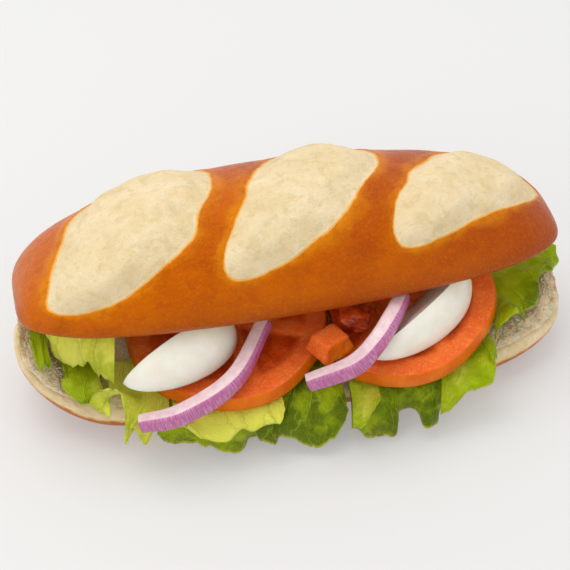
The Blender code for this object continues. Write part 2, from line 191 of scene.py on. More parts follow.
def makePores():
    # small round pits, and the same as a mask
    group, given, result = newGroup("finePores", (("Place", "NodeSocketVector", None),
                                    ("Size", "NodeSocketFloat", 1.5), ("Share", "NodeSocketFloat", 0.3)),
                                    (("Pits", "NodeSocketFloat"),))
    scale = calculate(group, "DIVIDE", 1000.0, given.outputs["Size"])
    cells = addNode(group, "ShaderNodeTexVoronoi", {"Vector": given.outputs["Place"], "Scale": scale})
    pits = addNode(group, "ShaderNodeMapRange", {"Value": cells.outputs["Distance"],
                   "From Min": 0.0, "From Max": given.outputs["Share"], "To Min": 1.0, "To Max": 0.0},
                   interpolation_type="SMOOTHSTEP")
    group.links.new(pits.outputs["Result"], result.inputs["Pits"])
    return group


def makeFibres():
    # fine crossing threads: a noise drawn out along a wandering direction
    group, given, result = newGroup("fineFibres", (("Place", "NodeSocketVector", None),
                                    ("Size", "NodeSocketFloat", 1.0), ("Stretch", "NodeSocketFloat", 6.0),
                                    ("Turn", "NodeSocketFloat", 0.0)),
                                    (("Threads", "NodeSocketFloat"),))
    wander = addNode(group, "ShaderNodeTexNoise", {"Vector": given.outputs["Place"], "Scale": 90.0,
                     "Detail": 2.0})
    swing = combine(group, "MULTIPLY", wander.outputs["Color"], (0.012,) * 3)
    moved = combine(group, "ADD", given.outputs["Place"], swing)
    turned = addNode(group, "ShaderNodeVectorRotate", {"Vector": moved, "Angle": given.outputs["Turn"]},
                     rotation_type="Z_AXIS")
    across = calculate(group, "DIVIDE", 1000.0, given.outputs["Size"])
    along = calculate(group, "DIVIDE", across, given.outputs["Stretch"])
    scale = addNode(group, "ShaderNodeCombineXYZ", {"X": along, "Y": across, "Z": across})
    placed = combine(group, "MULTIPLY", turned.outputs[0], scale.outputs[0])
    threads = addNode(group, "ShaderNodeTexNoise", {"Vector": placed, "Scale": 1.0, "Detail": 3.0,
                      "Roughness": 0.55})
    group.links.new(threads.outputs["Fac"], result.inputs["Threads"])
    return group


mottle = makeMottle()
pores = makePores()
fibres = makeFibres()


def startMaterial(name, roughness, **shaderValues):
    material = bpy.data.materials.new(name)
    material.use_nodes = True
    tree = material.node_tree
    shader = tree.nodes["Principled BSDF"]
    shader.inputs["Roughness"].default_value = roughness
    for key, value in shaderValues.items():
        shader.inputs[key.replace("_", " ")].default_value = value
    place = addNode(tree, "ShaderNodeTexCoord").outputs["Object"]
    return material, tree, shader, place


def addBump(tree, shader, height, distance):
    bump = addNode(tree, "ShaderNodeBump", {"Height": height, "Strength": 1.0,
                   "Distance": distance * millimetre})
    tree.links.new(bump.outputs["Normal"], shader.inputs["Normal"])


def patches(tree, place, size, contrast=1.0):
    return fillGroup(tree, mottle, {"Place": place, "Size": size, "Contrast": contrast}).outputs["Mask"]


def pits(tree, place, size, share):
    return fillGroup(tree, pores, {"Place": place, "Size": size, "Share": share}).outputs["Pits"]


def threads(tree, place, size, stretch, turn):
    return fillGroup(tree, fibres, {"Place": place, "Size": size, "Stretch": stretch,
                                    "Turn": turn}).outputs["Threads"]


def shaken(tree, value, mask, reach):
    # value moved by up to reach either way, as mask goes from 0 to 1
    return add(tree, value, remap(tree, mask, 0, 1, -reach, reach))


def cellEdges(tree, place, scale):
    return addNode(tree, "ShaderNodeTexVoronoi", {"Vector": place, "Scale": scale},
                   feature="DISTANCE_TO_EDGE").outputs["Distance"]


# Camera, light and floor
view = {"azimuth": -11.0, "elevation": 46.0, "distance": 0.600, "lens": 100.0, "sensor": 36.0,
        "target": (-0.0027, 0.0041, 0.040)}
light = {"skyStrength": 0.74, "skyColour": (1.0, 1.0, 1.0, 1.0),
         "lamps": (  # place, size, power, warmth
             ((-0.25, 0.20, 1.05), 0.8, 4.2, (1.0, 0.985, 0.96)),
             ((-0.7, -0.6, 0.7), 0.6, 1.2, (1.0, 0.99, 0.97)),
             ((0.8, -0.3, 0.6), 0.6, 0.6, (1.0, 1.0, 1.0)))}
floorLook = {"halfSize": 1.6, "colour": (0.56, 0.56, 0.55, 1.0), "roughness": 0.7, "glow": 0.26}


def aim(item, target):
    back = item.location - Vector(target)
    item.rotation_euler = back.to_track_quat("Z", "Y").to_euler()


def setCamera():
    turn, rise = math.radians(view["azimuth"]), math.radians(view["elevation"])
    back = Vector((math.sin(turn) * math.cos(rise), -math.cos(turn) * math.cos(rise), math.sin(rise)))
    data = bpy.data.cameras.new("photoCamera")
    data.lens = view["lens"]
    data.sensor_width = view["sensor"]
    camera = bpy.data.objects.new("photoCamera", data)
    bpy.context.scene.collection.objects.link(camera)
    camera.location = Vector(view["target"]) + back * view["distance"]
    aim(camera, view["target"])
    bpy.context.scene.camera = camera


def setLights():
    world = bpy.data.worlds.new("studio")
    world.use_nodes = True
    sky = world.node_tree.nodes["Background"]
    sky.inputs["Color"].default_value = light["skyColour"]
    sky.inputs["Strength"].default_value = light["skyStrength"]
    bpy.context.scene.world = world
    for index, (place, size, strength, warmth) in enumerate(light["lamps"]):
        data = bpy.data.lights.new("softbox%d" % index, "AREA")
        data.shape = "DISK"
        data.size = size
        data.energy = strength
        data.color = warmth
        lamp = bpy.data.objects.new("softbox%d" % index, data)
        bpy.context.scene.collection.objects.link(lamp)
        lamp.location = place
        aim(lamp, (0, 0, 0.03))
    bpy.context.scene.view_settings.view_transform = "Standard"


def makeFloor():
    bm = bmesh.new()
    bmesh.ops.create_grid(bm, x_segments=8, y_segments=8, size=floorLook["halfSize"])
    mesh = bpy.data.meshes.new("floor")
    bm.to_mesh(mesh)
    bm.free()
    material, tree, shader, place = startMaterial("paleFloor", floorLook["roughness"])
    shader.inputs["Base Color"].default_value = floorLook["colour"]
    shader.inputs["Emission Color"].default_value = (1.0, 1.0, 1.0, 1.0)
    shader.inputs["Emission Strength"].default_value = floorLook["glow"]
    mesh.materials.append(material)
    floor = bpy.data.objects.new("floor", mesh)
    bpy.context.scene.collection.objects.link(floor)


setCamera()
setLights()
makeFloor()
print("camera, light and floor")

# The upper bun
topBun = {"halfLength": 103.0, "halfWidth": 36.1, "dome": 35.4, "under": 12.4, "lip": 4.5,
          "centre": (2.0, 7.6, 50.7), "tilt": -12.8, "yaw": 1.9, "taper": 0.05,
          "segments": 240, "rings": 300,
          "arc": 37.0, "slashRise": 4.3, "slashRamp": 16.0,
          "slashes": (  # centre along and around the bun, and the reach every 22.5 degrees
              ((-59.0, 45.0), (25, 35, 42, 41, 37, 32, 28, 25, 27, 33, 43, 35, 26, 22, 22, 24)),
              ((3.0, 47.0), (24, 36, 40, 38, 29, 21, 18, 18, 19, 27, 43, 32, 23, 20, 19, 20)),
              ((63.0, 45.0), (31, 36, 34, 31, 23, 17, 16, 18, 20, 29, 38, 27, 20, 18, 19, 24)))}
farFromSlash = -30.0


def slashReach(radii, angle):
    # a smooth closed outline through the evenly turned radii of one slash
    step = (angle / (2 * math.pi)) % 1.0 * len(radii)
    low = int(step)
    t = step - low
    a, b, c, d = (radii[(low + k) % len(radii)] for k in (-1, 0, 1, 2))
    return b + 0.5 * t * (c - a + t * (2 * a - 5 * b + 4 * c - d + t * (3 * (b - c) + d - a)))


def slashDepth(along, arc):
    # how far inside the nearest slash a place on the crust is, less than 0 outside
    best = farFromSlash
    for (centreX, centreArc), radii in topBun["slashes"]:
        away = Vector((along - centreX, arc - centreArc))
        best = max(best, slashReach(radii, math.atan2(away.y, away.x)) - away.length)
    return best


def topBunPoint(n):
    look = topBun
    ring = math.sqrt(max(1e-9, 1.0 - n.x * n.x))
    side, up = n.y / ring, n.z / ring
    x = look["halfLength"] * power(n.x, 0.87)
    share = look["taper"] * x / look["halfLength"]
    wide = look["halfWidth"] * (1.0 - 0.4 * share) * ring ** 0.47
    tall = (look["dome"] if up > 0 else look["under"]) * (1.0 - share) * ring ** 1.06
    point = Vector((x, wide * power(side, 0.91), tall * power(up, 0.95)))
    inside = farFromSlash
    if up > 0:
        inside = slashDepth(x, look["arc"] * math.atan2(up, -side))
        outward = Vector((x / look["halfLength"] ** 2, point.y / look["halfWidth"] ** 2,
                          point.z / look["dome"] ** 2)).normalized()
        rise = look["slashRise"] * smooth((inside + 1.0) / look["slashRamp"])
        crumb = smooth(inside / 3.0)
        rise += crumb * (0.6 * ripple(point.x, point.y, point.z, 9.0, 3.1)
                         + 0.22 * ripple(point.x, point.y, point.z, 3.4, 7.7))
        # the crust's lip outside the opening, and the groove inside it
        rise += 0.35 * math.exp(-((inside + 2.2) / 1.8) ** 2) - 0.3 * math.exp(-((inside - 0.6) / 1.0) ** 2)
        point += outward * rise
    point += n * 0.3 * ripple(point.x, point.y, point.z, 16.0, 1.3)
    return point, inside


def makeTopBun(material):
    look = topBun
    bm = ball(look["segments"], look["rings"])
    insideLayer = bm.verts.layers.float.new("slashDepth")
    cutLayer = bm.verts.layers.float.new("cutFace")
    alongLayer = bm.verts.layers.float.new("alongRoll")
    rimLayer = bm.verts.layers.float.new("overRim")
    for vert in bm.verts:
        point, inside = topBunPoint(vert.co.normalized())
        vert.co = point
        vert[insideLayer] = inside
        vert[alongLayer] = point.x / look["halfLength"]
        # height above the cut rim, which the crust's painted shade near the lower edge follows
        vert[rimLayer] = point.z + look["lip"]
    level = -look["lip"]
    bmesh.ops.bisect_plane(bm, geom=everything(bm), plane_co=(0, 0, level), plane_no=(0, 0, -1))
    for vert in bm.verts:
        if vert.co.z < level + 1e-4:
            below = level - vert.co.z
            vert.co.z = level + 0.25 * smooth(below / 2.0) * ripple(vert.co.x, vert.co.y, 0.0, 2.5)
            vert[cutLayer] = smooth(below / 0.6)
    place = (Matrix.Translation(look["centre"]) @ Matrix.Rotation(math.radians(look["yaw"]), 4, "Z")
             @ Matrix.Rotation(math.radians(look["tilt"]), 4, "X"))
    bmesh.ops.transform(bm, matrix=place, verts=bm.verts)
    return finishPiece("topBun", bm, material, "bun_top")


def crumbLook(tree, place):
    # pale bread: the colour and the relief of torn, fibrous crumb, with shade painted into its hollows
    base = mixColour(tree, patches(tree, place, 12.0, 1.4), colour(240, 222, 184), colour(230, 208, 162))
    # painted shade: darker beige patches where the crumb's hollows lie in shadow
    hollowShade = remap(tree, patches(tree, place, 5.0, 1.6), 0.55, 1.0)
    base = tint(tree, base, hollowShade, 0.45, colour(214, 194, 146))
    toasted = remap(tree, patches(tree, place, 2.2, 1.4), 0.74, 1.0)
    base = tint(tree, base, toasted, 0.45, colour(226, 190, 126))
    fine = threads(tree, place, 0.55, 8.0, 0.6)
    other = threads(tree, place, 0.7, 9.0, -0.7)
    pale = remap(tree, calculate(tree, "MAXIMUM", fine, other), 0.6, 0.78)
    base = tint(tree, base, pale, 0.55, colour(250, 238, 208))
    height = add(tree, times(tree, fine, 0.6), times(tree, other, 0.6))
    height = add(tree, height, times(tree, patches(tree, place, 3.0, 1.2), 0.7))
    return base, height


def makeCrustMaterial(name, bright, middle, dark):
    # middle turns to dark along the roll, bright lies round the slashes; inside a slash it is crumb
    material, tree, shader, place = startMaterial(name, 0.36, Specular_IOR_Level=0.4,
                                                  Specular_Tint=(1.0, 0.42, 0.08, 1.0))
    inside = readAttribute(tree, "slashDepth")
    cut = readAttribute(tree, "cutFace")
    along = readAttribute(tree, "alongRoll")
    overRim = readAttribute(tree, "overRim")
    ragged = shaken(tree, inside, patches(tree, place, 3.0, 1.2), 0.2)
    near = remap(tree, shaken(tree, inside, patches(tree, place, 14.0), 3.0), -7.0, 0.5)
    toRight = remap(tree, shaken(tree, along, patches(tree, place, 24.0), 0.5), -0.7, 0.9)
    base = mixColour(tree, toRight, middle, dark)
    base = tint(tree, base, near, 0.5, bright)
    # painted shade: the crust turns deep brown towards the bun's lower edge, where less light falls
    low = remap(tree, shaken(tree, overRim, patches(tree, place, 12.0), 3.0), 1.0, 11.0, 1.0, 0.0)
    base = tint(tree, base, low, 0.55, colour(150, 56, 0))
    speck = remap(tree, patches(tree, place, 1.1, 1.5), 0.5, 1.0)
    base = tint(tree, base, speck, 0.12, bright)
    vein = remap(tree, patches(tree, place, 4.5, 1.6), 0.0, 0.35, 1.0, 0.0)
    base = tint(tree, base, vein, 0.3, dark)
    crumbBase, crumbHeight = crumbLook(tree, place)
    edgeLine = remap(tree, ragged, -1.1, -0.2)
    base = tint(tree, base, edgeLine, 0.9, colour(244, 184, 92))
    crumbMask = remap(tree, ragged, -0.3, 0.5)
    crumbMask = calculate(tree, "MAXIMUM", crumbMask, cut)
    base = mixColour(tree, crumbMask, base, crumbBase)
    tree.links.new(base, shader.inputs["Base Color"])
    rough = remap(tree, crumbMask, 0.0, 1.0, 0.33, 0.85, soft=False)
    rough = add(tree, rough, remap(tree, patches(tree, place, 4.0), 0, 1, -0.06, 0.08))
    tree.links.new(rough, shader.inputs["Roughness"])
    grain = times(tree, patches(tree, place, 0.8), 0.35)
    crease = times(tree, remap(tree, cellEdges(tree, place, 420.0), 0.0, 0.25), 0.3)
    dimple = times(tree, pits(tree, place, 2.4, 0.2), -0.35)
    wave = times(tree, patches(tree, place, 4.5), 0.7)
    crustHeight = add(tree, add(tree, grain, crease), add(tree, dimple, wave))
    height = addNode(tree, "ShaderNodeMix", {0: crumbMask, 2: crustHeight, 3: crumbHeight}, data_type="FLOAT")
    addBump(tree, shader, height.outputs[0], 0.35)
    return material


makeTopBun(makeCrustMaterial("bakedCrust", bright=colour(234, 148, 16), middle=colour(204, 98, 0),
                             dark=colour(172, 70, 10)))
print("upper bun")

# The lower bun
lowBun = {"halfLength": 106.0, "halfWidth": 35.0, "centre": (2.5, 1.0), "widest": 13.0, "depth": 16.0,
          "shoulder": 11.0, "cutHeight": 20.0, "cutSlope": 0.05, "curlStart": 70.0, "curlLeft": 17.0,
          "curlRight": 4.0, "curlRun": 34.0, "crumbFrom": 12.0, "segments": 160, "rings": 220}


def cutHeight(y):
    return lowBun["cutHeight"] + lowBun["cutSlope"] * (y + lowBun["halfWidth"])


def endCurl(x):
    rise = lowBun["curlLeft"] if x < 0 else lowBun["curlRight"]
    return rise * (max(0.0, abs(x) - lowBun["curlStart"]) / lowBun["curlRun"]) ** 2


def lowRing(x):
    n = min(1.0, abs(x - lowBun["centre"][0]) / lowBun["halfLength"]) ** (1 / 0.74)
    return math.sqrt(max(1e-9, 1.0 - n * n))


def bedHeight(x, y):
    # the top of the lower bun: its cut face and the shoulder round it
    grow = lowRing(x) ** 0.7
    side = min(1.0, abs(y - lowBun["centre"][1]) / (lowBun["halfWidth"] * grow)) ** (1 / 0.9)
    shoulder = lowBun["widest"] + lowBun["shoulder"] * grow * math.sqrt(1.0 - side * side) ** 0.9
    return min(cutHeight(y), shoulder) + endCurl(x)


def makeLowBun(material):
    look = lowBun
    bm = ball(look["segments"], look["rings"])
    insideLayer = bm.verts.layers.float.new("slashDepth")
    cutLayer = bm.verts.layers.float.new("cutFace")
    alongLayer = bm.verts.layers.float.new("alongRoll")
    bm.verts.layers.float.new("overRim")  # left at 0, so the whole lower crust gets the full painted shade of an under-lit bun bottom
    for vert in bm.verts:
        n = vert.co.normalized()
        ring = math.sqrt(max(1e-9, 1.0 - n.x * n.x))
        side, up = n.y / ring, n.z / ring
        grow = ring ** 0.7
        tall = look["shoulder"] if up > 0 else look["depth"]
        vert.co = Vector((look["centre"][0] + look["halfLength"] * power(n.x, 0.74),
                          look["centre"][1] + look["halfWidth"] * grow * power(side, 0.9),
                          look["widest"] + tall * grow * power(up, 0.9)))
        vert[alongLayer] = vert.co.x / look["halfLength"]
    slope = Vector((0, -look["cutSlope"], 1))
    bmesh.ops.bisect_plane(bm, geom=everything(bm), plane_co=(0, 0, cutHeight(0.0)), plane_no=slope)
    bmesh.ops.bisect_plane(bm, geom=everything(bm), plane_co=(0, 0, 0), plane_no=(0, 0, -1))
    for vert in bm.verts:
        above = vert.co.z - cutHeight(vert.co.y)
        torn = vert.co.z - look["crumbFrom"] + 0.8 * ripple(vert.co.x, vert.co.y, 0.0, 5.0)
        vert[cutLayer] = smooth(torn / 1.2)
        vert[insideLayer] = min(-0.5, 1.4 * torn)
        if above > -1e-4:
            vert.co.z -= above + 0.25 * smooth(above / 2.0) * (1 + ripple(vert.co.x, vert.co.y, 0.0, 2.5))
        elif torn > 0:
            sink = 0.2 + 0.3 * ripple(vert.co.x, vert.co.y, vert.co.z, 2.0)
            vert.co -= Vector((0, vert.co.y / 60.0, 1)) * sink
        vert.co.z = max(0.0, vert.co.z)
    for vert in bm.verts:
        vert.co.z += endCurl(vert.co.x)
    return finishPiece("lowBun", bm, material, "bun_bottom")


makeLowBun(makeCrustMaterial("lowerCrust", bright=colour(228, 158, 76), middle=colour(206, 112, 30),
                             dark=colour(188, 92, 26)))
print("lower bun")

# The tuna spread: a lumpy layer, and shreds and flakes that lie on its ends
tunaSpread = {"thick": 0.9, "least": 0.7, "lump": 3.2, "rightLump": 1.8, "halfLength": 103.5,
              "halfWidth": 33.0, "gap": 0.65, "edgeGap": 0.7, "segments": 120, "rings": 260,
              "shreds": 1500, "shredLength": (1.6, 6.0), "shredWidth": (0.4, 1.1)}


def tunaLayer(x, y, side):
    # the underside of the spread, its thickness, how far out on an end it is, and fine roughness
    look = tunaSpread
    end = smooth((abs(x) - 80.0) / 20.0)
    lump = noise.noise(Vector((x * 0.11, y * 0.13, 3.7)))
    fine = noise.noise(Vector((x * 0.31, y * 0.33, 9.1)))
    thick = look["thick"] + 0.05 * (y + lowBun["halfWidth"]) - 0.4 * abs(lump)
    thick += end * (look["lump"] + 2.2 * lump + 1.4 * fine) + look["rightLump"] * smooth((x - 92.0) / 8.0)
    rim = max(side ** 4, 0.4 * smooth((abs(x) - 66.0) / 12.0))
    rough = 0.6 * ripple(x, y, 0.0, 1.9, 2.2) + 0.4 * ripple(x, y, 0.0, 0.9, 5.2)
    return bedHeight(x, y) + look["gap"] + look["edgeGap"] * rim, max(look["least"], thick), end, rough


def makeShreds():
    # each shred is a little pointed stick, bent and laid on an end of the spread
    look = tunaSpread
    bm = bmesh.new()
    for _ in range(look["shreds"]):
        right = random.random() < 0.55
        x = random.uniform(72, 103) if right else random.uniform(-98, -70)
        across = random.uniform(-0.96, 0.96)
        y = lowBun["centre"][1] + look["halfWidth"] * lowRing(x) ** 0.7 * across
        under, thick, end, rough = tunaLayer(x, y, across)
        width = random.uniform(*look["shredWidth"])
        made = bmesh.ops.create_icosphere(bm, subdivisions=1, radius=0.5)
        length, bend = random.uniform(*look["shredLength"]), random.uniform(-0.3, 0.3)
        heading = Matrix.Rotation(random.uniform(0, math.pi), 4, "Z")
        turn = heading @ Matrix.Rotation(random.uniform(-0.6, 0.6), 4, "Y")
        top = under + thick * (1.0 - 0.5 * across ** 6)
        for vert in made["verts"]:
            point = Vector((vert.co.x * length, vert.co.y * width, vert.co.z * width * 0.8))
            point.y += bend * point.x * point.x / length * 2.0
            vert.co = turn @ point + Vector((x, y, top + 0.25 * width))
    mesh = bpy.data.meshes.new("shreds")
    bm.to_mesh(mesh)
    bm.free()
    return mesh


def makeTuna(material):
    look = tunaSpread
    bm = ball(look["segments"], look["rings"])
    for vert in bm.verts:
        n = vert.co.normalized()
        ring = math.sqrt(max(1e-9, 1.0 - n.x * n.x))
        side, up = n.y / ring, n.z / ring
        x = lowBun["centre"][0] + look["halfLength"] * power(n.x, 0.72)
        y = lowBun["centre"][1] + look["halfWidth"] * lowRing(x) ** 0.7 * power(side, 0.75)
        under, thick, end, rough = tunaLayer(x, y, side)
        y += 1.3 * (0.3 + 0.7 * end) * ripple(x, y, 4.0 * up, 4.5, 6.1) * side
        lift = thick * (0.5 + 0.5 * power(up, 0.5)) + max(0.0, up) * (0.25 + 1.1 * end) * rough
        vert.co = Vector((x, y, under + max(0.0, lift)))
    shreds = makeShreds()
    bm.from_mesh(shreds)
    bpy.data.meshes.remove(shreds)
    return finishPiece("tunaSpread", bm, material, "tuna_spread")


def makeTunaMaterial():
    material, tree, shader, place = startMaterial("tunaFlesh", 0.5, Subsurface_Weight=0.25,
                                                  Subsurface_Scale=0.002)
    base = mixColour(tree, patches(tree, place, 5.0, 1.5), colour(255, 232, 194), colour(244, 210, 166))
    dark = remap(tree, patches(tree, place, 2.0, 1.8), 0.65, 1.0)
    base = tint(tree, base, dark, 0.35, colour(200, 156, 112))
    cream = remap(tree, patches(tree, place, 3.3, 1.6), 0.6, 1.0)
    base = tint(tree, base, cream, 0.7, colour(247, 226, 196))
    tree.links.new(base, shader.inputs["Base Color"])
    height = add(tree, threads(tree, place, 0.5, 5.0, 0.3), patches(tree, place, 1.2, 1.2))
    addBump(tree, shader, height, 0.5)
    return material


makeTuna(makeTunaMaterial())
print("tuna")

# The tomato slices
tomatoSlices = (
    {"name": "leftTomato", "node": "tomato_left", "centre": (-24.5, -4.5, 31.0), "radius": 38.8,
     "tilt": (0.0, 0.1), "turn": 0.3, "leftEnd": None, "chambers": 6, "swing": 0.35},
    {"name": "rightTomato", "node": "tomato_right", "centre": (40.5, -5.0, 32.4), "radius": 39.8,
     "tilt": (0.07, 0.1), "turn": 1.1, "leftEnd": 15.6, "chambers": 6, "swing": 0.1})
tomatoForm = {"thick": 6.5, "steps": 180, "wall": 8.5, "core": 7.0, "septum": 2.4, "sink": 0.7}
solidFlesh = -5.0  # the chamber value where there is no seed chamber


def chamberDepth(look, radius, angle):
    # how far inside a seed chamber a place on the cut face is
    form = tomatoForm
    wall = look["radius"] - form["wall"] - 1.2 * math.sin(3 * angle + look["turn"])
    sector = 2 * math.pi / look["chambers"]
    offset = (angle + look["swing"]) % sector - sector / 2
    toSeptum = radius * abs(math.sin(sector / 2 - abs(offset))) - form["septum"]
    return min(wall - radius, radius - form["core"], toSeptum)


def makeTomato(look, material):
    form = tomatoForm
    half = form["thick"] / 2
    bm = bmesh.new()
    chamberLayer = bm.verts.layers.float.new("chamber")
    peelLayer = bm.verts.layers.float.new("peel")
    topRadius = look["radius"] - 2.0
    profile = [Vector((topRadius * k / 40, 0, half)) for k in range(0, 40)]
    # the rounded rim, as places outwards from the cut face's edge and down from the face
    edge = ((0.0, 0.0), (0.35, 0.03), (0.62, 0.14), (0.86, 0.34), (1.1, 0.7), (1.5, 1.8), (1.85, 3.2),
            (2.0, 4.6), (1.95, 5.6), (1.75, 6.1), (1.4, 6.4), (1.0, 6.5))
    profile += [Vector((topRadius - 0.3 + out, 0, half - down)) for out, down in edge]
    profile += [Vector((topRadius * k / 12, 0, -half)) for k in range(12, -1, -1)]
    verts = [bm.verts.new(point) for point in profile]
    edges = [bm.edges.new(pair) for pair in zip(verts, verts[1:])]
    bmesh.ops.spin(bm, geom=verts + edges, axis=(0, 0, 1), cent=(0, 0, 0), dvec=(0, 0, 0), angle=2 * math.pi,
                   steps=form["steps"], use_merge=True)
    bmesh.ops.remove_doubles(bm, verts=bm.verts, dist=0.004)
    for vert in bm.verts:
        radius = math.hypot(vert.co.x, vert.co.y)
        angle = math.atan2(vert.co.y, vert.co.x)
        depth = chamberDepth(look, radius, angle)
        vert[chamberLayer] = depth if abs(vert.co.z) > half - 0.01 else solidFlesh
        vert[peelLayer] = smooth((radius - topRadius - 0.1) / 0.5)
        if vert.co.z > half - 0.01:
            bulge = 0.8 * ripple(vert.co.x, vert.co.y, 0.0, 4.0, 1.7) + 0.6
            vert.co.z -= form["sink"] * smooth(depth / 1.6) - 0.9 * smooth((depth - 1.0) / 3.0) * bulge
            vert.co.z += 0.12 * ripple(vert.co.x, vert.co.y, 0.0, 2.2, 8.7)
        lobe = 1.0 + 0.012 * math.cos(5 * angle + look["turn"]) + 0.008 * math.cos(3 * angle - look["turn"])
        vert.co.x *= lobe
        vert.co.y *= lobe
    if look["leftEnd"] is not None:
        bmesh.ops.bisect_plane(bm, geom=everything(bm), plane_co=(look["leftEnd"] - look["centre"][0], 0, 0),
                               plane_no=(-1, 0, 0), clear_outer=True)
        rim = [edge for edge in bm.edges if edge.is_boundary]
        bmesh.ops.holes_fill(bm, edges=rim, sides=0)
    place = (Matrix.Translation(look["centre"]) @ Matrix.Rotation(math.atan(look["tilt"][1]), 4, "X")
             @ Matrix.Rotation(-math.atan(look["tilt"][0]), 4, "Y"))
    bmesh.ops.transform(bm, matrix=place, verts=bm.verts)
    return finishPiece(look["name"], bm, material, look["node"])


def makeTomatoMaterial():
    material, tree, shader, place = startMaterial("tomatoFlesh", 0.24, Subsurface_Weight=0.2,
                                                  Subsurface_Scale=0.002, Subsurface_Radius=(1.0, 0.4, 0.1),
                                                  Specular_Tint=(1.0, 0.6, 0.3, 1.0))
    chamber = readAttribute(tree, "chamber")
    peel = readAttribute(tree, "peel")
    flesh = mixColour(tree, patches(tree, place, 7.0, 1.3), colour(250, 122, 48), colour(240, 98, 32))
    pale = remap(tree, patches(tree, place, 1.2, 1.6), 0.6, 1.0)
    flesh = tint(tree, flesh, pale, 0.3, colour(252, 168, 112))
    jelly = mixColour(tree, patches(tree, place, 5.0, 1.5), colour(214, 78, 10), colour(178, 48, 4))
    base = mixColour(tree, remap(tree, chamber, -0.3, 3.2), flesh, jelly)
    skin = mixColour(tree, patches(tree, place, 9.0, 1.2), colour(236, 118, 0), colour(216, 90, 0))
    base = mixColour(tree, peel, base, skin)
    tree.links.new(base, shader.inputs["Base Color"])
    height = add(tree, patches(tree, place, 0.9), patches(tree, place, 3.0))
    addBump(tree, shader, height, 0.18)
    return material


tomatoMaterial = makeTomatoMaterial()
for slice in tomatoSlices:
    makeTomato(slice, tomatoMaterial)
print("tomato slices")

# The cut block of tomato and the seed jelly
tomatoChunk = {"centre": (11.0, -28.2, 38.4), "size": (15.0, 13.0, 7.5), "turn": 0.5, "cuts": 14}
seedJelly = {"centre": (23.5, -17.0, 39.6), "size": (7.0, 8.5, 3.8)}


def makeChunk(material):
    look = tomatoChunk
    bm = bmesh.new()
    bmesh.ops.create_cube(bm, size=1.0)
    bmesh.ops.subdivide_edges(bm, edges=bm.edges, cuts=look["cuts"], use_grid_fill=True)
    chamberLayer = bm.verts.layers.float.new("chamber")
    peelLayer = bm.verts.layers.float.new("peel")
    long, deep, tall = look["size"]
    for vert in bm.verts:
        n = vert.co * 2
        rounded = (abs(n.x) ** 9 + abs(n.y) ** 9 + abs(n.z) ** 9) ** (1.0 / 9.0)
        n = n / rounded * 0.5
        taper = 1.0 - 0.3 * (n.z + 0.5)
        vert[chamberLayer] = solidFlesh
        vert[peelLayer] = smooth((-n.y - 0.44) / 0.04)
        vert.co = Vector((n.x * long * taper, n.y * deep * taper, n.z * tall))
        vert.co += vert.co.normalized() * 0.35 * ripple(vert.co.x, vert.co.y, vert.co.z, 2.5, 4.4)
    place = Matrix.Translation(look["centre"]) @ Matrix.Rotation(look["turn"], 4, "Z")
    bmesh.ops.transform(bm, matrix=place, verts=bm.verts)
    return finishPiece("tomatoChunk", bm, material, "tomato_chunk")


def makeJelly(material):
    look = seedJelly
    bm = bmesh.new()
    bmesh.ops.create_icosphere(bm, subdivisions=5, radius=1.0)
    long, deep, tall = look["size"]
    for vert in bm.verts:
        n = vert.co.normalized()
        swell = 1.0 + 0.22 * noise.noise(n * 1.9 + Vector((5.0, 1.0, 2.0)))
        swell += 0.07 * noise.noise(n * 5.0)
        vert.co = Vector((n.x * long, n.y * deep, power(n.z, 0.7) * tall)) * swell
        vert.co.z = max(-tall, vert.co.z)
        vert.co += Vector(look["centre"])
    return finishPiece("seedJelly", bm, material, "tomato_jelly")


def makeJellyMaterial():
    material, tree, shader, place = startMaterial("seedJelly", 0.16, Subsurface_Weight=0.3,
                                                  Subsurface_Scale=0.004, Coat_Weight=0.25,
                                                  Coat_Roughness=0.08)
    base = mixColour(tree, patches(tree, place, 4.0, 1.6), colour(222, 82, 10), colour(150, 34, 0))
    tree.links.new(base, shader.inputs["Base Color"])
    addBump(tree, shader, patches(tree, place, 2.4, 1.2), 0.3)
    return material


makeChunk(tomatoMaterial)
makeJelly(makeJellyMaterial())
print("tomato block and jelly")

# The egg wedges
eggWedges = (
    {"name": "leftEgg", "node": "egg_left", "tip": (-66.0, -31.0, 35.2), "end": (-23.0, -9.5, 36.0),
     "radius": 15.8, "lower": 0.0, "upper": 75.0},
    {"name": "rightEgg", "node": "egg_right", "tip": (23.0, -34.0, 35.0), "end": (67.0, 1.0, 39.4),
     "radius": 17.3, "lower": -7.0, "upper": 51.0})
eggForm = {"segments": 150, "rings": 70}


def makeEgg(look, material):
    axis = Vector(look["end"]) - Vector(look["tip"])
    half = axis.length / 2
    bm = ball(eggForm["segments"], eggForm["rings"])
    for vert in bm.verts:
        n = vert.co.normalized()
        wide = look["radius"] * (1 + 0.12 * n.x)
        vert.co = Vector((half * n.x, wide * n.y, wide * n.z))
    for angle, sign in ((look["lower"], 1.0), (look["upper"], -1.0)):
        tilt = math.radians(angle)
        keep = Vector((0, math.sin(tilt), math.cos(tilt))) * sign
        bmesh.ops.bisect_plane(bm, geom=everything(bm), plane_co=(0, 0, 0), plane_no=-keep)
        for vert in bm.verts:
            past = -vert.co.dot(keep)
            if past > -1e-5:
                vert.co += keep * past
    front = Vector((axis.y, -axis.x, 0)).normalized()
    length = axis.normalized()
    up = length.cross(-front).normalized()
    turn = Matrix((length, -front, up)).transposed().to_4x4()
    place = Matrix.Translation((Vector(look["tip"]) + Vector(look["end"])) / 2) @ turn
    bmesh.ops.transform(bm, matrix=place, verts=bm.verts)
    return finishPiece(look["name"], bm, material, look["node"])


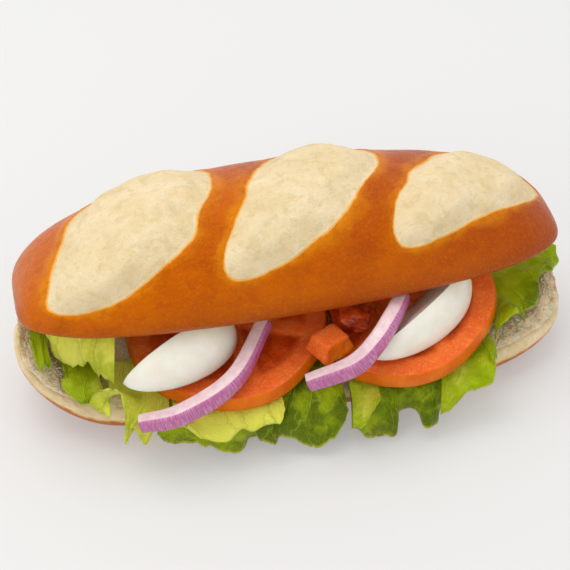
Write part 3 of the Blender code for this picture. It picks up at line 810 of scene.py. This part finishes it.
def makeEggMaterial():
    material, tree, shader, place = startMaterial("eggWhite", 0.3, Subsurface_Weight=0.5,
                                                  Subsurface_Scale=0.003, Coat_Weight=0.15,
                                                  Coat_Roughness=0.2)
    base = mixColour(tree, patches(tree, place, 6.0, 1.2), colour(246, 243, 231), colour(238, 234, 217))
    tree.links.new(base, shader.inputs["Base Color"])
    addBump(tree, shader, patches(tree, place, 2.4, 0.8), 0.06)
    return material


eggMaterial = makeEggMaterial()
for wedge in eggWedges:
    makeEgg(wedge, eggMaterial)
print("egg")

# The red onion: a band swept along a path, its top the cut face and its outer side purple
onionArcs = (
    {"name": "leftOnion", "node": "onion_left", "wide": 6.5, "tall": 7.0,
     "path": ((-62.0, -44.0, 27.0, 0.85), (-46.7, -45.2, 30.5, 1.0), (-26.6, -38.0, 36.7, 1.0),
              (-11.3, -16.0, 40.0, 0.9))},
    {"name": "rightOnion", "node": "onion_right", "wide": 6.5, "tall": 7.0,
     "path": ((0.0, -42.0, 33.5, 0.85), (16.4, -42.5, 39.8, 1.0), (25.5, -38.5, 45.5, 1.0),
              (33.7, -30.0, 49.0, 1.0), (39.4, -21.0, 48.5, 0.9))})
onionForm = {"steps": 120, "points": 40}


def makeOnion(look, material):
    spots = [Vector(spot[:3]) for spot in look["path"]]
    full = [spot[3] for spot in look["path"]]
    steps, points = onionForm["steps"], onionForm["points"]
    bm = bmesh.new()
    heightLayer = bm.verts.layers.float.new("bandHeight")
    outLayer = bm.verts.layers.float.new("bandOut")
    alongLayer = bm.verts.layers.float.new("bandAlong")
    made = bmesh.ops.create_circle(bm, segments=points, radius=1.0, cap_ends=True)
    section = []
    ring = made["verts"]
    for vert in ring:
        angle = math.atan2(vert.co.y, vert.co.x)
        section.append(Vector((power(math.cos(angle), 0.45) * 0.5, power(math.sin(angle), 0.45) * 0.5)))
    travelled = 0.0
    last = None
    for k in range(steps + 1):
        u = k / steps
        spot = curveThrough(spots, u)
        ahead = (curveThrough(spots, u + 0.01) - curveThrough(spots, u - 0.01)).normalized()
        side = Vector((ahead.y, -ahead.x, 0)).normalized()
        up = side.cross(ahead).normalized()
        size = curveThrough(full, u)
        if k:
            edges = list({edge for vert in ring for edge in vert.link_edges
                          if edge.verts[0] in ring and edge.verts[1] in ring})
            grown = bmesh.ops.extrude_edge_only(bm, edges=edges)
            fresh = [item for item in grown["geom"] if isinstance(item, bmesh.types.BMVert)]
            partner = {}
            for vert in fresh:
                for edge in vert.link_edges:
                    other = edge.other_vert(vert)
                    if other in ring:
                        partner[other] = vert
            ring = [partner[vert] for vert in ring]
            travelled += (spot - last).length
        last = spot
        for vert, flat in zip(ring, section):
            out, high = flat.x * look["wide"] * size, flat.y * look["tall"] * size
            vert.co = spot + side * out + up * high
            vert[heightLayer] = flat.y + 0.5
            vert[outLayer] = flat.x + 0.5
            vert[alongLayer] = travelled
    bmesh.ops.contextual_create(bm, geom=ring)
    return finishPiece(look["name"], bm, material, look["node"])


def makeOnionMaterial():
    material, tree, shader, place = startMaterial("redOnion", 0.3, Subsurface_Weight=0.25,
                                                  Subsurface_Scale=0.002, Coat_Weight=0.3,
                                                  Coat_Roughness=0.15)
    high = readAttribute(tree, "bandHeight")
    out = readAttribute(tree, "bandOut")
    along = readAttribute(tree, "bandAlong")
    lines = addNode(tree, "ShaderNodeCombineXYZ", {"X": times(tree, along, 2.4), "Y": times(tree, high, 1.2)})
    streak = addNode(tree, "ShaderNodeTexNoise", {"Vector": lines.outputs[0], "Scale": 1.0, "Detail": 4.0,
                     "Roughness": 0.6}).outputs["Fac"]
    purple = mixColour(tree, remap(tree, streak, 0.35, 0.7), colour(168, 76, 132), colour(224, 150, 196))
    purple = tint(tree, purple, patches(tree, place, 9.0, 1.4), 0.6, colour(176, 84, 140))
    flesh = mixColour(tree, patches(tree, place, 3.0, 1.2), colour(236, 214, 216), colour(224, 188, 198))
    onTop = remap(tree, shaken(tree, high, streak, 0.05), 0.86, 0.93)
    onTop = times(tree, onTop, remap(tree, out, 0.74, 0.82, 1.0, 0.0))
    inner = remap(tree, out, 0.2, 0.45, 1.0, 0.0)
    base = mixColour(tree, calculate(tree, "MAXIMUM", onTop, inner), purple, flesh)
    tree.links.new(base, shader.inputs["Base Color"])
    addBump(tree, shader, streak, 0.12)
    return material


onionMaterial = makeOnionMaterial()
for arc in onionArcs:
    makeOnion(arc, onionMaterial)
print("onion")

# The lettuce. A leaf has its roots and knees inside the filling, at its left and right end, and
# the places its free edge passes, which it falls to from "drop" above.
flatPart = 0.3
leafForm = {"thick": 0.45, "step": 0.8, "columns": 110, "rows": 44}


def tier(y, level):
    # where a leaf lies between the tuna and the tomato
    return 22.5 + 0.1 * (y + 35.0) + leafForm["step"] * level


leaves = (
    {"name": "leftFlapLeaf", "node": "leaf_left_flap", "tone": 0.3, "drop": 2.0, "ruffle": (0.3, 1, 0),
     "roots": ((-94, 8, 40), (-91, 8, 38.6)), "knees": ((-96, 0, 42), (-91.3, -3, 39.5)),
     "edge": ((-96.5, -10, 41), (-96.5, -13.5, 37.5), (-94.5, -18.5, 33.5), (-93, -17.5, 36.5),
              (-91.8, -18.5, 34.5), (-90.5, -18, 36))},
    {"name": "leftFoldLeaf", "node": "leaf_left_fold", "tone": 0.9, "drop": 8.0, "ruffle": (0.9, 2, 2.2),
     "roots": ((-86, 14, 35), (-66, 8, 36)), "knees": ((-89, 3, 44), (-66, -10, 46)),
     "edge": ((-91, -8, 42), (-89, -13, 36), (-86, -17, 34), (-83, -19, 34), (-80, -20, 36), (-77, -21, 38),
              (-75, -25, 34), (-73, -26, 35), (-68.5, -29, 34))},
    {"name": "leftLowLeaf", "node": "leaf_left_low", "tone": 0.5, "drop": 1.5, "ruffle": (0.5, 1.7, 0.5),
     "roots": ((-84, 4, 29), (-73, -2, 27.5)), "knees": ((-86, -8, 31), (-74, -16, 28)),
     "edge": ((-87, -14, 32), (-86, -19, 30), (-88, -20, 28), (-86, -25.5, 26.5), (-83, -29, 25.5),
              (-79.5, -29, 25), (-76, -28, 25.5), (-73, -25.5, 26.5))},
    {"name": "leftCurlLeaf", "node": "leaf_left_curl", "tone": 0.95, "drop": 3.0, "ruffle": (0.4, 2, 1.0),
     "roots": ((-71, -12, tier(-12, 2)), (-50, -12, tier(-12, 2))),
     "knees": ((-71, -22, tier(-22, 2) + 1), (-50, -30, tier(-30, 2))),
     "edge": ((-72, -35, 22), (-76, -33, 24), (-79, -31, 27), (-76.5, -30, 31), (-72, -31, 33),
              (-68, -33, 33), (-67, -38, 29), (-68, -44, 17), (-65, -42, 24), (-61, -44, 15),
              (-57, -43, 21), (-52, -42, 23))},
    {"name": "paleLeaf", "node": "leaf_pale", "tone": 1.25, "drop": 2.0, "ruffle": (0.8, 3.4, 0.6),
     "roots": ((-49, -6, tier(-6, 1.6)), (-9, -6, tier(-6, 1.6))),
     "knees": ((-49, -32, tier(-32, 1.6)), (-9, -32, tier(-32, 1.6))),
     "edge": ((-50, -45, 23), (-45, -46, 23), (-40, -49, 19), (-32, -50, 17), (-26, -48, 20), (-22, -48, 18),
              (-15, -47, 20), (-11, -47, 19), (-9, -44.5, 23))},
    {"name": "underLeaf", "node": "leaf_under", "tone": 0.25, "drop": 6.0, "ruffle": (1.2, 3.2, 2.0),
     "roots": ((-54, -8, tier(-8, 0)), (-14, -8, tier(-8, 0))),
     "knees": ((-54, -32, tier(-32, 0)), (-14, -32, tier(-32, 0))),
     "edge": ((-56, -41.5, 16), (-53, -43, 13.5), (-48, -44, 11), (-42, -43, 11), (-38, -44, 8),
              (-34, -44.5, 6), (-26, -44.5, 4.5), (-20, -42, 6), (-16, -40, 7))},
    {"name": "middleLeaf", "node": "leaf_middle", "tone": 0.05, "drop": 8.0, "ruffle": (1.0, 1.8, 1.4),
     "roots": ((-11, -6, tier(-6, 0.6)), (14, -6, tier(-6, 0.6))),
     "knees": ((-11, -32, tier(-32, 0.6)), (14, -32, tier(-32, 0.6))),
     "edge": ((-21, -42.5, 10.5), (-18, -43.5, 6.5), (-13, -45, 6), (-10, -46, 10), (-4, -48.5, 6.5),
              (0, -49, 4.5), (4, -49, 5.5), (9, -48.5, 8.5), (13, -47.5, 14), (14, -46.5, 20.5))},
    {"name": "foldLeaf", "node": "leaf_fold", "tone": 0.65, "drop": 1.5, "ruffle": (0.4, 1.0, 2.5),
     "roots": ((17, -14, tier(-14, 1)), (27, -14, tier(-14, 1))),
     "knees": ((17, -33, tier(-33, 1)), (27, -38, tier(-38, 1))),
     "edge": ((15.5, -50.5, 15.5), (19, -51.5, 15.5), (21, -52.5, 23), (24.5, -52.5, 31))},
    {"name": "frillLeaf", "node": "leaf_frill", "tone": 0.2, "drop": 6.0, "ruffle": (1.0, 3.0, 0.9),
     "roots": ((17, -10, tier(-10, 0)), (55, -10, tier(-10, 0))),
     "knees": ((17, -32, tier(-32, 0)), (53, -32, tier(-32, 0))),
     "edge": ((16, -46, 8), (19, -46.5, 7), (22, -48, 5), (25, -48.5, 2.5), (29, -48.5, 2.5),
              (32, -48.5, 4), (33, -46, 10), (36, -44, 12), (41, -45, 11), (43, -49, 7), (46, -49, 7),
              (49, -48, 7), (51.5, -45, 11))},
    {"name": "rightFrillLeaf", "node": "leaf_frill_right", "tone": 0.5, "drop": 5.0,
     "ruffle": (1.0, 2.2, 2.6),
     "roots": ((56, -12, tier(-12, 1.2)), (70, -4, tier(-4, 0.8))),
     "knees": ((53, -31, tier(-31, 1.2)), (73, -20, 25.9)),
     "edge": ((49, -50, 13.5), (55, -47.5, 15), (60, -46, 18.5), (66, -45, 19), (70, -43, 22), (72, -41, 26),
              (70.5, -38, 26), (74, -36, 24))},
    {"name": "rightLeaf", "node": "leaf_right", "tone": 0.4, "drop": 3.0, "ruffle": (0.9, 3.0, 0.4),
     "roots": ((66, -6, tier(-6, 2.4)), (76, 16, 31)), "knees": ((74, -16, 27.8), (92, 12, 34)),
     "edge": ((74, -31, 28), (75.5, -28, 30), (79, -26, 32.5), (84, -24.5, 35), (89, -24, 28), (90, -18, 29),
              (94, -16, 29.5), (97, -12, 31.5), (99, -7, 34.5), (103, -4, 33), (105, -2, 32), (109, 2, 32),
              (109, 6, 36))})


def backLeaf(side, first, last, wave):
    # the leaves behind, out of the camera's sight
    reach = [(first + (last - first) * k / 6, 43 + 2 * math.sin(2.4 * k), 19 + 3 * math.sin(1.9 * k + wave))
             for k in range(7)]
    return {"name": "back" + side.capitalize() + "Leaf", "node": "leaf_back_" + side, "tone": 0.4,
            "drop": 6.0, "ruffle": (1.4, 2.7, wave), "roots": ((last, 6, tier(6, 1)), (first, 6, tier(6, 1))),
            "knees": ((last, 33, tier(33, 1)), (first, 33, tier(33, 1))), "edge": reach[::-1]}


def bezier(points, t):
    a, b, c, d = points
    s = 1.0 - t
    return a * s ** 3 + b * (3 * s * s * t) + c * (3 * s * t * t) + d * t ** 3


def leafRib(root, knee, bend, tip, v):
    if v < flatPart:
        return root.lerp(knee, v / flatPart)
    ahead = knee + (knee - root).normalized() * (bend - knee).length * 0.5
    return bezier((knee, ahead, bend, tip), (v - flatPart) / (1.0 - flatPart))


def makeLeaf(look, material):
    roots, knees, edge = ([Vector(point) for point in look[key]] for key in ("roots", "knees", "edge"))
    swell, waves, phase = look["ruffle"]
    drop = Vector((0, 0, look["drop"]))
    columns, rows = leafForm["columns"], leafForm["rows"]
    seed = phase * 3.3 + roots[0].x * 0.1
    width = sum((b - a).length for a, b in zip(edge, edge[1:]))
    length = (edge[0] - roots[0]).length

    def surface(u, v):
        tip = curveThrough(edge, u)
        teeth = noise.noise(Vector((u * width / 3.0, seed, 0.0)))
        teeth += 0.5 * noise.noise(Vector((u * width / 1.2, seed, 4.0)))
        reach = v * (1.0 - 0.035 * (0.6 + teeth) * v ** 6)
        return leafRib(roots[0].lerp(roots[1], u), knees[0].lerp(knees[1], u), tip + drop, tip, reach)

    bm = bmesh.new()
    bmesh.ops.create_grid(bm, x_segments=columns, y_segments=rows, size=0.5)
    mapLayer = bm.verts.layers.float_vector.new("leafMap")
    freeLayer = bm.verts.layers.float.new("freeEdge")
    toneLayer = bm.verts.layers.float.new("leafTone")
    for vert in bm.verts:
        u = vert.co.x + 0.5
        v = vert.co.y + 0.5
        here = surface(u, v)
        across = surface(min(1.0, u + 0.02), v) - surface(max(0.0, u - 0.02), v)
        down = surface(u, min(1.0, v + 0.02)) - surface(u, max(0.0, v - 0.02))
        normal = across.cross(down).normalized()
        free = max(0.0, v - flatPart) / (1.0 - flatPart)
        calm = 1.0 - abs(2.0 * u - 1.0) ** 4
        lift = swell * free * math.sin(2 * math.pi * waves * u + phase + 1.2 * v) * calm
        lift += 0.9 * free ** 2 * noise.noise(Vector((u * width / 3.6, free * 1.2, seed)))
        lift += 0.9 * free * noise.noise(Vector((u * width / 7.0, v * length / 11.0, seed + 3.0)))
        vert.co = here + normal * lift
        vert[mapLayer] = Vector((u * width, v * length, seed))
        vert[freeLayer] = v
        vert[toneLayer] = look["tone"]
    bmesh.ops.solidify(bm, geom=bm.faces, thickness=leafForm["thick"])
    return finishPiece(look["name"], bm, material, look["node"])


def makeLeafMaterial():
    material, tree, shader, place = startMaterial("lettuceLeaf", 0.36, Subsurface_Weight=0.3,
                                                  Subsurface_Scale=0.002, Subsurface_Radius=(0.6, 1.0, 0.05),
                                                  Specular_IOR_Level=0.5, Specular_Tint=(0.8, 1.0, 0.2, 1.0))
    flat = addNode(tree, "ShaderNodeAttribute", attribute_name="leafMap").outputs["Vector"]
    free = readAttribute(tree, "freeEdge")
    tone = readAttribute(tree, "leafTone")
    wander = addNode(tree, "ShaderNodeTexNoise", {"Vector": flat, "Scale": 0.16, "Detail": 2.0})
    moved = combine(tree, "MULTIPLY", wander.outputs["Color"], (6.0, 6.0, 6.0))
    drawn = combine(tree, "MULTIPLY", combine(tree, "ADD", flat, moved), (1.0, 0.4, 1.0))
    bigVein = remap(tree, cellEdges(tree, drawn, 0.1), 0.0, 0.05, 1.0, 0.0)
    smallVein = remap(tree, cellEdges(tree, drawn, 0.42), 0.0, 0.14, 1.0, 0.0)
    spread = shaken(tree, tone, patches(tree, place, 12.0, 1.3), 0.22)
    spread = add(tree, spread, remap(tree, free, 0.55, 1.0, 0.12, -0.12))
    base = mixColour(tree, remap(tree, spread, 0.0, 0.5), colour(74, 90, 0), colour(152, 170, 0))
    base = mixColour(tree, remap(tree, spread, 0.45, 1.1), base, colour(226, 228, 92))
    rim = remap(tree, free, 0.965, 1.0)
    base = tint(tree, base, bigVein, 0.28, colour(190, 206, 70))
    base = tint(tree, base, smallVein, 0.1, colour(176, 196, 50))
    base = tint(tree, base, rim, 0.6, colour(196, 206, 40))
    tree.links.new(base, shader.inputs["Base Color"])
    height = add(tree, times(tree, bigVein, 0.7), times(tree, smallVein, 0.2))
    height = add(tree, height, times(tree, patches(tree, place, 3.5), 0.8))
    addBump(tree, shader, height, 0.3)
    return material


leafMaterial = makeLeafMaterial()
for leaf in leaves + (backLeaf("left", -58, -4, 0.2), backLeaf("right", 4, 66, 1.2)):
    makeLeaf(leaf, leafMaterial)
print("lettuce")
